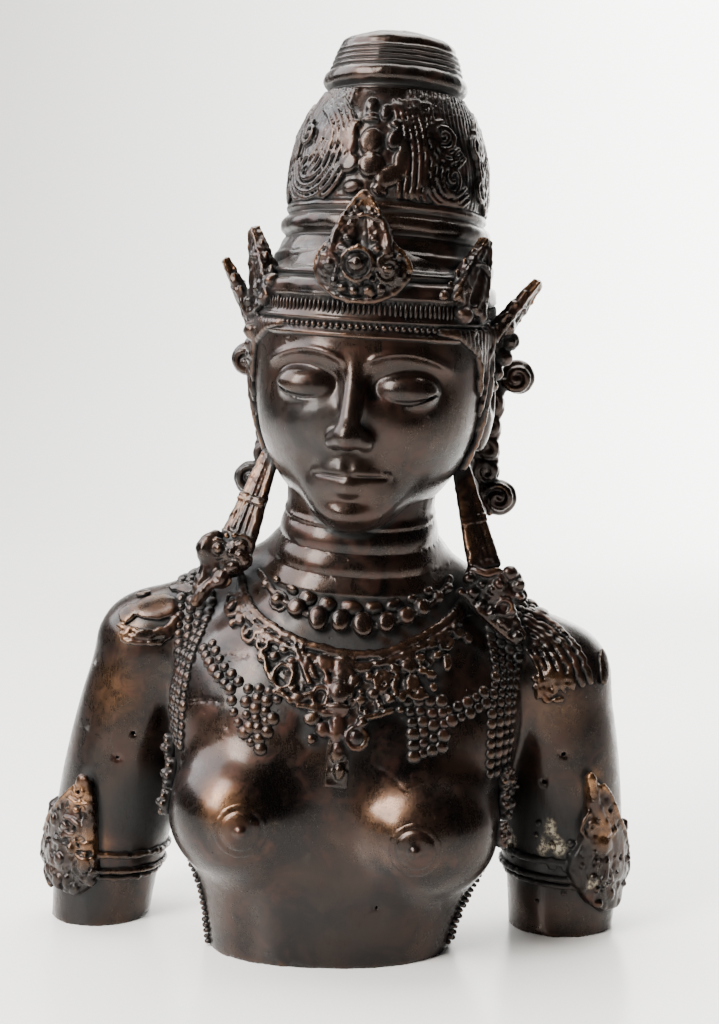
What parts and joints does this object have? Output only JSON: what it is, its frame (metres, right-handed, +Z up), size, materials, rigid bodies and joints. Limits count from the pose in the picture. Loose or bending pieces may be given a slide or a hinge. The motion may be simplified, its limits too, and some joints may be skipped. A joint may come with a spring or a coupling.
{
  "type": "bronze bust of a goddess",
  "caption": "Cast bronze bust of a crowned goddess with downcast eyes, beaded necklaces and armlets, cut flat under the breasts and below the armlets.",
  "frame": {"origin": "middle of the torso's flat underside, on the surface that the bust stands on", "axes": "+Z up, -Y the way the face and chest look, +X towards the figure's left shoulder"},
  "size_m": [0.1689, 0.0866, 0.2483],
  "materials": {
    "bronze": "dark brown patina, waxed, worn golden on the high points"
  },
  "bodies": {
    "root": {"bust": "bronze"}
  },
  "joints": []
}
